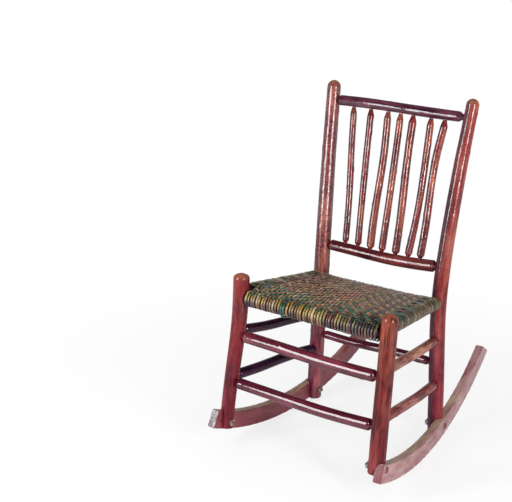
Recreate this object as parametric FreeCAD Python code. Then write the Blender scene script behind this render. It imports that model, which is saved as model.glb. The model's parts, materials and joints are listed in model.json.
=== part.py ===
import FreeCAD, Part
import math
import os

# Hickory rocking chair without arms, in millimetres. +Z is up and the chair faces -Y,
# so left and right are as a person standing before the chair sees them.
# The posts are placed in the chair's own upright frame, where X = 0 lies midway between
# its sides and Z = 0 near the feet. The whole frame then leans back on its two rockers.

Vector = FreeCAD.Vector
UP = Vector(0, 0, 1)
ACROSS = Vector(1, 0, 0)
SIGN = {"left": -1, "right": 1}

# How far the frame leans back (degrees) when its weight hangs straight over its rockers
lean_back = 7.0

# Fits and small clearances
fit_gap = 0.1
end_gap = 1.0
shoulder_gap = 0.3
lap_gap = 0.1
seat_slack = 0.5
overrun = 12.0

# Front posts: half distance between their axes, places of their ends, widths
front_top_half = {"left": 223.5, "right": 221.5}
front_foot_half = 234.0
front_top_depth = -181.0
front_foot_depth = {"left": -178.0, "right": -186.0}
front_top_height = {"left": 442.0, "right": 432.0}
front_foot_height = 8.0
front_foot_end = {"left": 6.0, "right": 22.0}
front_foot_width = {"left": 37.5, "right": 43.0}
front_top_width = {"left": 43.5, "right": 43.0}
front_bow = {"left": 5.5, "right": 0.5}
front_wave = {"left": -3.0, "right": 0.0}
front_dome = {"left": 14.0, "right": 19.0}
front_dome_shoulder = {"left": 10.0, "right": 14.0}

# Back posts: straight below the seat, steam-bent there, straight again above it
back_foot_half = 201.5
back_seat_half = {"left": 185.5, "right": 184.5}
back_top_half = {"left": 213.5, "right": 210.0}
back_foot_depth = 229.0
back_seat_depth = 173.0
back_top_depth = 186.0
back_foot_height = 13.0
back_foot_end = {"left": 5.0, "right": 13.0}
back_seat_height = 397.5
back_top_height = {"left": 953.5, "right": 946.0}
back_bend_length = 60.0
back_foot_width = {"left": 43.0, "right": 43.5}
back_seat_width = {"left": 45.0, "right": 42.5}
back_top_width = {"left": 37.5, "right": 34.5}
back_bow = {"left": -2.0, "right": -4.5}
back_dome = {"left": 18.5, "right": 15.5}
back_dome_shoulder = {"left": 14.0, "right": 11.5}

# Turned-down ends of the stretchers, seat rails, back rails and spindles
stretcher_tenon_width = 17.0
stretcher_tenon_length = 11.0
stretcher_taper = 8.0
rail_tenon_width = 16.0
rail_tenon_length = 18.0
rail_taper = 8.0
crest_tenon_width = 14.0
crest_tenon_length = 15.0
crest_taper = {"left": 6.0, "right": 12.0}
spindle_tenon_width = 10.5
spindle_tenon_length = 11.0
spindle_foot_taper = 8.0
spindle_top_taper = 18.0

# Front stretchers: heights at their left and right ends, widths and crook
front_upper_height = {"left": 272.5, "right": 266.0}
front_upper_width = {"left": 31.5, "right": 31.5}
front_upper_rise = -3.0
front_upper_wave = 1.0
front_lower_height = {"left": 139.5, "right": 140.5}
front_lower_width = {"left": 30.0, "right": 31.5}
front_lower_rise = -5.0
front_lower_wave = 1.3

# Back stretcher
back_stretcher_height = {"left": 212.5, "right": 215.5}
back_stretcher_width = 25.0
back_stretcher_rise = -1.0
back_stretcher_wave = -2.0

# Side stretchers: heights at their front and back ends, width and crook
side_upper_front = {"left": 284.5, "right": 287.0}
side_upper_back = {"left": 272.5, "right": 284.5}
side_upper_width = {"left": 27.0, "right": 26.5}
side_upper_rise = {"left": -2.0, "right": -1.8}
side_upper_wave = {"left": -1.5, "right": 0.0}
side_lower_front = {"left": 153.5, "right": 158.5}
side_lower_back = {"left": 164.0, "right": 156.0}
side_lower_width = {"left": 29.0, "right": 26.5}
side_lower_rise = {"left": 2.0, "right": -3.5}
side_lower_wave = {"left": -2.0, "right": 1.5}

# Crest rail and lower rail of the back: the crest hangs a drop below each post's top
crest_drop = {"left": 53.75, "right": 50.75}
crest_width = {"left": 29.5, "right": 27.5}
crest_rise = 1.0
crest_wave = 1.0
lower_rail_height = {"left": 487.0, "right": 488.0}
lower_rail_width = {"left": 31.0, "right": 33.5}
lower_rail_taper = 7.0
lower_rail_rise = -6.0
lower_rail_wave = 1.0

# Spindles, from left to right: places along the two back rails as shares of the half
# distance between the posts, sideways crook as shares of the spindle's length
spindle_foot_shares = (-0.613, -0.402, -0.197, -0.003, 0.225, 0.428, 0.619)
spindle_top_shares = (-0.668, -0.405, -0.145, 0.039, 0.220, 0.479, 0.672)
spindle_rise_shares = (0.005, -0.002, 0.005, 0.003, 0.0, 0.0145, -0.012)
spindle_wave_shares = (0.003, 0.0, -0.0055, 0.0, 0.003, 0.002, 0.007)
spindle_foot_width = 20.8
spindle_top_width = 19.4
spindle_width_shares = (0.92, 0.94, 1.06, 0.99, 1.08, 0.98, 1.04)

# Seat frame, hidden inside the weave: the side rails sit higher than the front and back ones
seat_rail_height = 376.0
front_rail_width = {"left": 30.0, "right": 35.0}
back_rail_width = 28.0
side_rail_rise = 18.0
side_rail_width = 26.0

# Woven seat: two crossing layers of splint over each rail, its room at the posts, and how
# far its middle stands above and below the front rail's own wrapping
weave_thickness = 5.0
post_room = 2.6
seat_crown = 3.75
seat_belly = 1.75

# Rockers: two sawn arcs of one circle, toed in from the front feet to the back feet.
# The circle's centre is a place in the upright frame, and the ends are turns about it in
# degrees, from straight below the centre. They stand on a narrow worn flat. The tails are
# cut at a slant: the turn of their upper corner is less than that of the lower one.
rocker_radius = 833.0
rocker_centre_depth = 8.5
rocker_drop = 22.5
rocker_height = 50.0
rocker_thickness = 24.0
rocker_front_turn = {"left": -16.6, "right": -15.6}
rocker_tail_turn = 41.0
rocker_tail_slant = 1.7
rocker_corner = 3.0
rocker_face_offset = {"left": 0.5, "right": 3.5}
rocker_flat = 46.0

# Carriage bolts, washers and square nuts that hold the posts to the rockers. Each bolt's
# height is above the rocker's lower edge.
front_bolt_height = {"left": 25.0, "right": 36.0}
back_bolt_height = {"left": 25.0, "right": 25.0}
bolt_width = 8.0
bolt_head_width = 19.0
bolt_head_height = 4.5
bolt_head_shoulder = 1.0
bolt_end = 3.0
washer_width = 20.0
washer_thickness = 1.6
nut_width = 13.5
nut_thickness = 6.5
spot_face_width = 23.0
spot_face_depth = 3.0
bolt_gap = 0.15

# Cross-sections along each pole, and halvings in a search for a height
station_count = 9
halving_count = 40

# The frame leans back about the circle's centre, which ends up one radius above the floor
LEAN = FreeCAD.Rotation(ACROSS, -lean_back)
circle_centre = LEAN.multVec(Vector(0, rocker_centre_depth, rocker_radius - rocker_drop))
balance_depth = circle_centre.y
STAND = FreeCAD.Placement(Vector(0, 0, rocker_radius - circle_centre.z), LEAN)


def stand(x, y, z):
    """A point of the upright frame, once the chair leans back on its rockers."""
    return STAND.multVec(Vector(x, y, z))


def mix(low, high, share):
    """The value at a share of the way from one size to another."""
    return low + (high - low) * share


def front_axis(side, height):
    """Centre of a front post at a height above the feet."""
    low = front_foot_height
    share = (height - low) / (front_top_height[side] - low)
    x = SIGN[side] * mix(front_foot_half, front_top_half[side], share)
    x += front_bow[side] * math.sin(math.pi * share) + front_wave[side] * math.sin(2 * math.pi * share)
    return stand(x, mix(front_foot_depth[side], front_top_depth, share), height)


def bent(low, middle, high, side, height):
    """A size that runs straight to the seat, bends there, and runs straight to the top."""
    above = height - back_seat_height
    slope_low = (middle - low) / (back_seat_height - back_foot_height)
    slope_high = (high - middle) / (back_top_height[side] - back_seat_height)
    turn = (slope_high - slope_low) / 2
    return middle + (slope_low + slope_high) / 2 * above + turn * math.hypot(above, back_bend_length)


def back_axis(side, height):
    """Centre of a back post at a height above the feet."""
    x = SIGN[side] * bent(back_foot_half, back_seat_half[side], back_top_half[side], side, height)
    share = (height - back_seat_height) / (back_top_height[side] - back_seat_height)
    x += back_bow[side] * math.sin(math.pi * max(share, 0))
    return stand(x, bent(back_foot_depth, back_seat_depth, back_top_depth, side, height), height)


def front_radius(side, height):
    """Radius of a front post at a height above the feet."""
    share = (height - front_foot_height) / (front_top_height[side] - front_foot_height)
    return mix(front_foot_width[side], front_top_width[side], share) / 2


def back_radius(side, height):
    """Radius of a back post at a height above the feet."""
    if height < back_seat_height:
        share = (height - back_foot_height) / (back_seat_height - back_foot_height)
        return mix(back_foot_width[side], back_seat_width[side], share) / 2
    share = (height - back_seat_height) / (back_top_height[side] - back_seat_height)
    return mix(back_seat_width[side], back_top_width[side], share) / 2


def disc(centre, direction, radius):
    """A circle across a pole, square to its direction."""
    wire = Part.Wire(Part.makeCircle(radius))
    wire.Placement = FreeCAD.Placement(centre, FreeCAD.Rotation(UP, direction))
    return wire


def dome(centre, direction, radius, height, shoulder):
    """The rounded top of a post or a bolt: a small shoulder arc and a wide arc, turned about its axis."""
    inner = radius - shoulder
    sunk = (inner ** 2 - (height - shoulder) ** 2) / (2 * (height - shoulder))
    wide = sunk + height
    rise = math.atan2(sunk, inner)
    lean = math.pi / 2 - rise
    join = Vector(wide * math.sin(lean), 0, wide * math.cos(lean) - sunk)
    on_shoulder = Vector(inner + shoulder * math.cos(rise / 2), 0, shoulder * math.sin(rise / 2))
    on_top = Vector(wide * math.sin(lean / 2), 0, wide * math.cos(lean / 2) - sunk)
    rim = Part.Arc(Vector(radius, 0, 0), on_shoulder, join).toShape()
    crown = Part.Arc(join, on_top, Vector(0, 0, height)).toShape()
    base = Part.makeLine(Vector(0, 0, 0), Vector(radius, 0, 0))
    middle = Part.makeLine(Vector(0, 0, height), Vector(0, 0, 0))
    cap = Part.Face(Part.Wire([base, rim, crown, middle])).revolve(Vector(0, 0, 0), UP, 360)
    cap.Placement = FreeCAD.Placement(centre, FreeCAD.Rotation(UP, direction))
    return cap


def post(axis, radius, side, low, high, dome_height, shoulder):
    """A standing pole that follows its axis from its foot to the spring of its dome."""
    top = high - dome_height
    heights = [mix(low, top, i / (station_count - 1)) for i in range(station_count)]
    centres = [axis(side, height) for height in heights]
    discs = []
    for i, height in enumerate(heights):
        ahead = centres[min(i + 1, station_count - 1)]
        behind = centres[max(i - 1, 0)]
        discs.append(disc(centres[i], ahead - behind, radius(side, height)))
    body = Part.makeLoft(discs, True, False)
    cap = dome(centres[-1], centres[-1] - centres[-2], radius(side, top), dome_height, shoulder)
    return body.fuse(cap).removeSplitter()


class Rung:
    """A pole between two others: a crooked body, tapered shoulders and a tenon at each end."""

    def __init__(self, start, end, seats, widths, tenon, tapers, rise=0, wave=0, toward=UP):
        self.start = start
        self.end = end
        self.seats = seats
        self.widths = widths
        self.tenon_width, self.tenon_length = tenon
        self.tapers = tapers
        self.rise = rise
        self.wave = wave
        self.unit = (end - start).normalize()
        sideways = toward - self.unit * toward.dot(self.unit)
        self.toward = sideways.normalize()
        self.length = (end - start).Length

    def centre(self, distance):
        """Centre of the pole at a distance along the line between its two ends."""
        first = self.seats[0] + shoulder_gap + self.tapers[0]
        last = self.length - self.seats[1] - shoulder_gap - self.tapers[1]
        share = min(max((distance - first) / (last - first), 0), 1)
        crook = self.rise * math.sin(math.pi * share) + self.wave * math.sin(2 * math.pi * share)
        return self.start + self.unit * distance + self.toward * crook

    def radius(self, distance):
        """Radius of the pole's body at a distance along that line."""
        return mix(self.widths[0], self.widths[1], distance / self.length) / 2

    def solid(self):
        """The whole pole as one solid."""
        first = self.seats[0] + shoulder_gap + self.tapers[0]
        last = self.length - self.seats[1] - shoulder_gap - self.tapers[1]
        places = [mix(first, last, i / (station_count - 1)) for i in range(station_count)]
        body = Part.makeLoft([disc(self.centre(p), self.unit, self.radius(p)) for p in places], True, False)
        pieces = []
        ends = ((self.start, self.unit, self.seats[0], self.tapers[0], first),
                (self.end, self.unit * -1, self.seats[1], self.tapers[1], last))
        for point, inward, seat, taper, place in ends:
            small = self.tenon_width / 2
            shoulder = point + inward * (seat + shoulder_gap)
            pieces.append(Part.makeCone(small, self.radius(place), taper, shoulder, inward))
            tip = point + inward * (seat - self.tenon_length)
            pieces.append(Part.makeCylinder(small, self.tenon_length + shoulder_gap, tip, inward))
        return body.fuse(pieces).removeSplitter()

    def bore(self, index):
        """The blind hole that the start (0) or end (1) tenon needs in the piece that holds it."""
        point = (self.start, self.end)[index]
        inward = self.unit * (1, -1)[index]
        depth = self.tenon_length + end_gap
        bottom = point + inward * (self.seats[index] - depth)
        return Part.makeCylinder(self.tenon_width / 2 + fit_gap, depth + overrun, bottom, inward)


# The four posts, before their holes and feet are cut

posts = {}
for side in SIGN:
    posts["front_post_" + side] = post(front_axis, front_radius, side, front_foot_end[side],
                                       front_top_height[side], front_dome[side],
                                       front_dome_shoulder[side])
    posts["back_post_" + side] = post(back_axis, back_radius, side, back_foot_end[side],
                                      back_top_height[side], back_dome[side],
                                      back_dome_shoulder[side])

parts = {}
stretcher_tenon = (stretcher_tenon_width, stretcher_tenon_length)
stretcher_tapers = dict.fromkeys(SIGN, stretcher_taper)
rail_tenon = (rail_tenon_width, rail_tenon_length)
rail_tapers = dict.fromkeys(SIGN, rail_taper)


def seat_on(radius, along, toward, tenon_width):
    """Distance from a pole's centre to where a rung's shoulder clears it, square to it or not."""
    tilt = math.asin(abs(along.normalize().dot(toward.normalize())))
    return radius / math.cos(tilt) + tenon_width / 2 * math.tan(tilt)


def seat_of(axis, radius, side, height, other_end, tenon_width):
    """The same distance on a post, for a rung that runs from it to another pole."""
    centre = axis(side, height)
    upward = axis(side, height + overrun) - centre
    return seat_on(radius(side, height), upward, other_end - centre, tenon_width)


def cross_rung(axis, radius, which, heights, widths, tenon, tapers, rise=0, wave=0):
    """A rung from the left post to the right post of a pair, with holes bored for it."""
    ends = [axis(side, heights[side]) for side in SIGN]
    seats = [seat_of(axis, radius, "left", heights["left"], ends[1], tenon[0]),
             seat_of(axis, radius, "right", heights["right"], ends[0], tenon[0])]
    widths = [widths[side] for side in SIGN]
    tapers = [tapers[side] for side in SIGN]
    rung = Rung(ends[0], ends[1], seats, widths, tenon, tapers, rise, wave)
    for index, side in enumerate(SIGN):
        name = which + "_post_" + side
        posts[name] = posts[name].cut(rung.bore(index))
    return rung


def side_rung(side, front_height, back_height, width, tenon, taper, rise=0, wave=0):
    """A rung from a front post back to the post behind it, with holes bored for it."""
    ends = (front_axis(side, front_height), back_axis(side, back_height))
    seats = (seat_of(front_axis, front_radius, side, front_height, ends[1], tenon[0]),
             seat_of(back_axis, back_radius, side, back_height, ends[0], tenon[0]))
    rung = Rung(ends[0], ends[1], seats, (width, width), tenon, (taper, taper), rise, wave)
    for index, which in enumerate(("front", "back")):
        name = which + "_post_" + side
        posts[name] = posts[name].cut(rung.bore(index))
    return rung


# Front stretchers

parts["front_stretcher_upper"] = cross_rung(
    front_axis, front_radius, "front", front_upper_height,
    front_upper_width, stretcher_tenon, stretcher_tapers,
    front_upper_rise, front_upper_wave).solid()
parts["front_stretcher_lower"] = cross_rung(
    front_axis, front_radius, "front", front_lower_height,
    front_lower_width, stretcher_tenon, stretcher_tapers,
    front_lower_rise, front_lower_wave).solid()

# Back stretcher

parts["back_stretcher"] = cross_rung(
    back_axis, back_radius, "back", back_stretcher_height,
    dict.fromkeys(SIGN, back_stretcher_width), stretcher_tenon, stretcher_tapers,
    back_stretcher_rise, back_stretcher_wave).solid()

# Side stretchers

for side in SIGN:
    parts["side_stretcher_" + side + "_upper"] = side_rung(
        side, side_upper_front[side], side_upper_back[side], side_upper_width[side],
        stretcher_tenon, stretcher_taper, side_upper_rise[side], side_upper_wave[side]).solid()
    parts["side_stretcher_" + side + "_lower"] = side_rung(
        side, side_lower_front[side], side_lower_back[side], side_lower_width[side],
        stretcher_tenon, stretcher_taper, side_lower_rise[side], side_lower_wave[side]).solid()

# Back rails and the spindles between them

crest_height = {side: back_top_height[side] - crest_drop[side] for side in SIGN}
crest = cross_rung(back_axis, back_radius, "back", crest_height, crest_width,
                   (crest_tenon_width, crest_tenon_length), crest_taper, crest_rise, crest_wave)
lower_rail = cross_rung(back_axis, back_radius, "back", lower_rail_height,
                        lower_rail_width, rail_tenon,
                        dict.fromkeys(SIGN, lower_rail_taper), lower_rail_rise, lower_rail_wave)
crest_solid = crest.solid()
lower_rail_solid = lower_rail.solid()


def spindle_seat(rail, place, toward):
    """The same distance on a back rail, whose crook tilts it to the spindle."""
    along = rail.centre(place + overrun) - rail.centre(place)
    return seat_on(rail.radius(place), along, toward, spindle_tenon_width)


for i, foot_share in enumerate(spindle_foot_shares):
    foot_place = lower_rail.length * (1 + foot_share) / 2
    top_place = crest.length * (1 + spindle_top_shares[i]) / 2
    foot = lower_rail.centre(foot_place)
    top = crest.centre(top_place)
    length = (top - foot).Length
    thickness_share = spindle_width_shares[i]
    seats = (spindle_seat(lower_rail, foot_place, top - foot), spindle_seat(crest, top_place, top - foot))
    spindle = Rung(foot, top, seats,
                   (spindle_foot_width * thickness_share, spindle_top_width * thickness_share),
                   (spindle_tenon_width, spindle_tenon_length),
                   (spindle_foot_taper, spindle_top_taper),
                   length * spindle_rise_shares[i], length * spindle_wave_shares[i], ACROSS)
    lower_rail_solid = lower_rail_solid.cut(spindle.bore(0))
    crest_solid = crest_solid.cut(spindle.bore(1))
    parts["spindle_" + str(i + 1)] = spindle.solid()
parts["crest_rail"] = crest_solid
parts["lower_back_rail"] = lower_rail_solid

# Seat rails

rail_heights = dict.fromkeys(SIGN, seat_rail_height)
front_rail = cross_rung(front_axis, front_radius, "front", rail_heights, front_rail_width,
                        rail_tenon, rail_tapers)
back_rail = cross_rung(back_axis, back_radius, "back", rail_heights,
                       dict.fromkeys(SIGN, back_rail_width), rail_tenon, rail_tapers)
side_rail_height = seat_rail_height + side_rail_rise
side_rails = {}
for side in SIGN:
    side_rails[side] = side_rung(side, side_rail_height, side_rail_height, side_rail_width,
                                 rail_tenon, rail_taper)
    parts["seat_rail_" + side] = side_rails[side].solid()
parts["seat_rail_front"] = front_rail.solid()
parts["seat_rail_back"] = back_rail.solid()


# Woven seat: an upper and a lower sheet of splint that wrap all four rails. It is one
# closed shell, with the rails inside it and open corners for the posts.

def rail_at(rung, coordinate, value):
    """Centre and radius of a straight rail where X or Y has a value, in the upright frame."""
    first = STAND.inverse().multVec(rung.start)
    last = STAND.inverse().multVec(rung.end)
    low = getattr(first, coordinate)
    share = (value - low) / (getattr(last, coordinate) - low)
    return first + (last - first) * share, rung.radius(rung.length * share)


def front_to_back_wire(x, cover):
    """The weave's outline across the front and back rails at one X: a belt round both."""
    front, front_r = rail_at(front_rail, "x", x)
    back, back_r = rail_at(back_rail, "x", x)
    front_r += cover
    back_r += cover
    reach = back - front
    slope = math.atan2(reach.z, reach.y)
    spread = math.acos((front_r - back_r) / math.hypot(reach.y, reach.z))

    def on(centre, radius, angle):
        return Vector(x, centre.y + radius * math.cos(angle), centre.z + radius * math.sin(angle))

    over = slope + spread
    under = slope - spread
    round_front = Part.Arc(on(front, front_r, over), on(front, front_r, slope + math.pi),
                           on(front, front_r, under)).toShape()
    round_back = Part.Arc(on(back, back_r, under), on(back, back_r, slope),
                          on(back, back_r, over)).toShape()
    below = Part.makeLine(on(front, front_r, under), on(back, back_r, under))
    above = Part.makeLine(on(back, back_r, over), on(front, front_r, over))
    return Part.Wire([round_front, below, round_back, above])


wrapped_half = sum(front_rail_width.values()) / 4 + weave_thickness
seat_top_height = seat_rail_height + wrapped_half + seat_crown
seat_bottom_height = seat_rail_height - wrapped_half - seat_belly


def side_to_side_wire(y, cover, inset):
    """The weave's outline across the two side rails at one Y: dished above and bellied below."""
    left, left_r = rail_at(side_rails["left"], "y", y)
    right, right_r = rail_at(side_rails["right"], "y", y)
    left_r += cover
    right_r += cover
    middle = (left.x + right.x) / 2
    left_over = Vector(left.x, y, left.z + left_r)
    left_under = Vector(left.x, y, left.z - left_r)
    right_over = Vector(right.x, y, right.z + right_r)
    right_under = Vector(right.x, y, right.z - right_r)
    round_left = Part.Arc(left_over, Vector(left.x - left_r, y, left.z), left_under).toShape()
    below = Part.Arc(left_under, Vector(middle, y, seat_bottom_height + inset), right_under).toShape()
    round_right = Part.Arc(right_under, Vector(right.x + right_r, y, right.z), right_over).toShape()
    above = Part.Arc(right_over, Vector(middle, y, seat_top_height - inset), left_over).toShape()
    return Part.Wire([round_left, below, round_right, above])


front_room = max(front_top_width.values()) / 2 + post_room
back_room = max(back_seat_width.values()) / 2 + post_room
front_limit = front_top_depth + front_room
back_limit = back_seat_depth - back_room
front_half = min(front_top_half.values()) - front_room
back_half = min(back_seat_half.values()) - back_room


def between_posts():
    """The plan of the front-to-back weave: a prism as wide as the room between the posts."""
    front_edge = front_top_depth - max(front_rail_width.values()) - overrun
    back_edge = back_seat_depth + back_rail_width + overrun
    slope = (front_half - back_half) / (back_seat_depth - front_top_depth)
    wide = front_half + slope * (front_top_depth - front_edge)
    narrow = back_half - slope * (back_edge - back_seat_depth)
    corners = [Vector(-wide, front_edge, 0), Vector(wide, front_edge, 0),
               Vector(narrow, back_edge, 0), Vector(-narrow, back_edge, 0)]
    plan = Part.Face(Part.makePolygon(corners + corners[:1]))
    tallest = seat_rail_height + max(front_rail_width.values()) + overrun
    return plan.extrude(Vector(0, 0, tallest))


def weave_body(cover, inset):
    """The weave's outer form, or with less cover its inside, where the rails lie."""
    span = front_half + overrun
    warp = Part.makeLoft([front_to_back_wire(-span, cover), front_to_back_wire(span, cover)], True, True)
    warp = warp.common(between_posts())
    weft = Part.makeLoft([side_to_side_wire(front_limit, cover, inset),
                          side_to_side_wire(back_limit, cover, inset)], True, True)
    return warp.fuse(weft)


weave = weave_body(weave_thickness, 0).cut(weave_body(seat_slack, weave_thickness))
weave.Placement = STAND
parts["seat_weave"] = weave


# Rockers: each stands in the upright plane through the feet of its two posts

def rocker_frame(side):
    """Point under the front foot, direction to the back and outward direction of a rocker."""
    front = front_axis(side, front_foot_height)
    back = back_axis(side, back_foot_height)
    along = Vector(back.x - front.x, back.y - front.y, 0).normalize()
    outward = Vector(along.y, -along.x, 0) * SIGN[side]
    return Vector(front.x, front.y, 0), along, outward


def rocker_point(side, radius, reach, offset):
    """A point on a rocker: its circle's radius, reach behind the lowest point, offset outward."""
    base, along, outward = rocker_frame(side)
    low = base + along * ((balance_depth - base.y) / along.y)
    height = rocker_radius - math.sqrt(radius ** 2 - reach ** 2)
    return low + along * reach + outward * offset + Vector(0, 0, height)


def ring_sector(side, inner, outer, front_turn, upper_turn, tail_turn, offset, thickness, flat):
    """A slab between two arcs of the rocker's circle, flat where it stands on the floor."""
    def at(radius, turn):
        return rocker_point(side, radius, radius * math.sin(turn), offset)

    middle = (front_turn + tail_turn) / 2
    top = Part.Arc(at(inner, front_turn), at(inner, middle), at(inner, upper_turn)).toShape()
    tail = Part.makeLine(at(inner, upper_turn), at(outer, tail_turn))
    nose = Part.makeLine(at(outer, front_turn), at(inner, front_turn))
    if flat > 0:
        half = math.asin(flat / 2 / outer)
        behind = Part.Arc(at(outer, tail_turn), at(outer, (tail_turn + half) / 2), at(outer, half)).toShape()
        rest = Part.makeLine(at(outer, half), at(outer, -half))
        before = Part.Arc(at(outer, -half), at(outer, (front_turn - half) / 2), at(outer, front_turn)).toShape()
        under = [behind, rest, before]
    else:
        under = [Part.Arc(at(outer, tail_turn), at(outer, middle), at(outer, front_turn)).toShape()]
    face = Part.Face(Part.Wire([top, tail] + under + [nose]))
    outward = rocker_frame(side)[2]
    return face.extrude(outward * thickness)


nose_turn = {side: math.radians(rocker_front_turn[side] - lean_back) for side in SIGN}
tail_turn = math.radians(rocker_tail_turn - lean_back)
upper_turn = tail_turn - math.radians(rocker_tail_slant)
rocker_inner_radius = rocker_radius - rocker_height
rest_drop = rocker_radius - math.sqrt(rocker_radius ** 2 - (rocker_flat / 2) ** 2)

# Rockers, with their end corners eased

rockers = {}
for side in SIGN:
    rocker = ring_sector(side, rocker_inner_radius, rocker_radius, nose_turn[side], upper_turn,
                         tail_turn, rocker_face_offset[side], rocker_thickness, rocker_flat)
    ends = []
    for edge in rocker.Edges:
        middle = edge.CenterOfMass
        across = edge.Length < rocker_thickness + lap_gap and edge.BoundBox.ZLength < lap_gap
        if across and middle.z > rocker_height / 2:
            ends.append(edge)
    rockers[side] = rocker.makeFillet(rocker_corner, ends)

# Feet: the outer half of each post stands on its rocker, the inner half runs down beside it

for name in posts:
    which, side = name.split("_post_")
    notch = ring_sector(side, rocker_inner_radius - lap_gap, rocker_radius + overrun,
                        nose_turn[side], upper_turn, tail_turn, rocker_face_offset[side] - lap_gap,
                        rocker_thickness + overrun, 0)
    posts[name] = posts[name].cut(notch)


# Bolts: one through each foot and its rocker, head outside, washer and nut inside

def foot_height(axis, side, bolt_height):
    """Height on a post's axis where its bolt crosses it."""
    along = rocker_frame(side)[1]
    target = rocker_radius - bolt_height
    centre = Vector(0, balance_depth, rocker_radius)
    low = 0
    high = rocker_height * 2
    for _ in range(halving_count):
        height = (low + high) / 2
        point = axis(side, height)
        if math.hypot((point.y - centre.y) / along.y, point.z - centre.z) > target:
            low = height
        else:
            high = height
    return height


def bolt_set(axis, radius, side, bolt_height):
    """Bolt, washer and nut of one foot, and the holes for them in the post and the rocker."""
    base, _, outward = rocker_frame(side)
    height = foot_height(axis, side, bolt_height)
    centre = axis(side, height)
    inward = outward * -1
    to_face = rocker_face_offset[side] + rocker_thickness - (centre - base).dot(outward)
    outer_face = centre + outward * to_face
    seat = centre + inward * (radius(side, height) - spot_face_depth)
    shank_length = (seat - outer_face).Length + washer_thickness + nut_thickness + bolt_end
    bolt = Part.makeCylinder(bolt_width / 2, shank_length, outer_face, inward)
    bolt = bolt.fuse(dome(outer_face, outward, bolt_head_width / 2, bolt_head_height,
                          bolt_head_shoulder))
    hole_radius = bolt_width / 2 + bolt_gap
    washer = Part.makeCylinder(washer_width / 2, washer_thickness, seat, inward)
    washer = washer.cut(Part.makeCylinder(hole_radius, washer_thickness, seat, inward))
    nut = Part.makeBox(nut_width, nut_width, nut_thickness, Vector(-nut_width / 2, -nut_width / 2, 0))
    nut = nut.cut(Part.makeCylinder(hole_radius, nut_thickness))
    nut.Placement = FreeCAD.Placement(seat + inward * washer_thickness, FreeCAD.Rotation(UP, inward))
    hole = Part.makeCylinder(hole_radius, shank_length + overrun, outer_face + outward * overrun / 2, inward)
    spot = Part.makeCylinder(spot_face_width / 2, spot_face_depth + overrun, seat, inward)
    return bolt.removeSplitter(), washer, nut, hole, spot


bolts = []
washers = []
nuts = []
for side in SIGN:
    feet = (("front_post_", front_axis, front_radius, front_bolt_height),
            ("back_post_", back_axis, back_radius, back_bolt_height))
    for start, axis, radius, bolt_height in feet:
        bolt, washer, nut, hole, spot = bolt_set(axis, radius, side, bolt_height[side])
        name = start + side
        posts[name] = posts[name].cut([hole, spot])
        rockers[side] = rockers[side].cut(hole)
        bolts.append(bolt)
        washers.append(washer)
        nuts.append(nut)
parts["rocker_bolts"] = Part.makeCompound(bolts)
parts["rocker_washers"] = Part.makeCompound(washers)
parts["rocker_nuts"] = Part.makeCompound(nuts)
for side in SIGN:
    parts["rocker_" + side] = rockers[side]
parts.update(posts)

# The finished chair: its origin goes to the middle of its footprint, at the floor

nose = rocker_point("left", rocker_radius, rocker_radius * math.sin(nose_turn["left"]), 0)
tail = rocker_point("left", rocker_radius, rocker_radius * math.sin(tail_turn), 0)
centring = Vector(0, -(nose.y + tail.y) / 2, -rest_drop)
print("origin moved by", centring)
os.makedirs("parts", exist_ok=True)
for name, shape in parts.items():
    shape.translate(centring)
    print(name, "solids", len(shape.Solids), "valid", shape.isValid(), "volume", round(shape.Volume))
    shape.exportStep("parts/" + name + ".step")
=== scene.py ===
import bmesh
import bpy
import json
import math
import numpy as np
import random
from mathutils import Matrix, Vector, noise


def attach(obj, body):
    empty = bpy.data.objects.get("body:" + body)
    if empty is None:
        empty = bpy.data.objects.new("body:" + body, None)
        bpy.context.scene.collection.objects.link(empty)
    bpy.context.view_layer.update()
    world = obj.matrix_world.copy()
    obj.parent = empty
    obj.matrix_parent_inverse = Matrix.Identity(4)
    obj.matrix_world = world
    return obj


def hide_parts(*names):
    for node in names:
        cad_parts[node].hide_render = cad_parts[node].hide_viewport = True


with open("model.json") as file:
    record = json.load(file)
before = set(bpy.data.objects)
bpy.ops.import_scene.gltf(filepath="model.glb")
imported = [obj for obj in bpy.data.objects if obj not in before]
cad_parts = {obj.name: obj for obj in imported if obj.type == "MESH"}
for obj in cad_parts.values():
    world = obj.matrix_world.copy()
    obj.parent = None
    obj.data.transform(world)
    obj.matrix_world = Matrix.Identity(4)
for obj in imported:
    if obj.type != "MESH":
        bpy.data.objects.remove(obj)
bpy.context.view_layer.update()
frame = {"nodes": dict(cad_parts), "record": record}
scene = bpy.context.scene

# Front posts: two hickory saplings with the bark left on, stained dark red under a glossy
# varnish. Their tops are domed with a knife and worn pale, the pale partly painted light, and
# their feet are notched to stand on the rockers. Small knots and swells are all that is left
# of the branches.

weld_distance = 0.00001


def merged(node):
    """The frame's mesh for a node, with its loose triangles joined."""
    bm = bmesh.new()
    bm.from_mesh(frame["nodes"][node].data)
    bmesh.ops.remove_doubles(bm, verts=bm.verts, dist=weld_distance)
    return bm


def linked(name, data):
    """A new object in the scene, at the origin."""
    made = bpy.data.objects.new(name, data)
    scene.collection.objects.link(made)
    return made


def new_piece(name, bm):
    """A new piece from a mesh that is done."""
    mesh = bpy.data.meshes.new(name)
    bm.to_mesh(mesh)
    bm.free()
    return linked(name, mesh)


def evened(bm, name, voxel):
    """A new piece from a closed mesh, its surface laid out again in even squares."""
    piece = new_piece(name, bm)
    even = piece.modifiers.new("even", "REMESH")
    even.mode = "VOXEL"
    even.voxel_size = voxel
    even.use_smooth_shade = True
    graph = bpy.context.evaluated_depsgraph_get()
    piece.data = bpy.data.meshes.new_from_object(piece.evaluated_get(graph))
    piece.data.name = name
    piece.modifiers.clear()
    return piece


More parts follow.
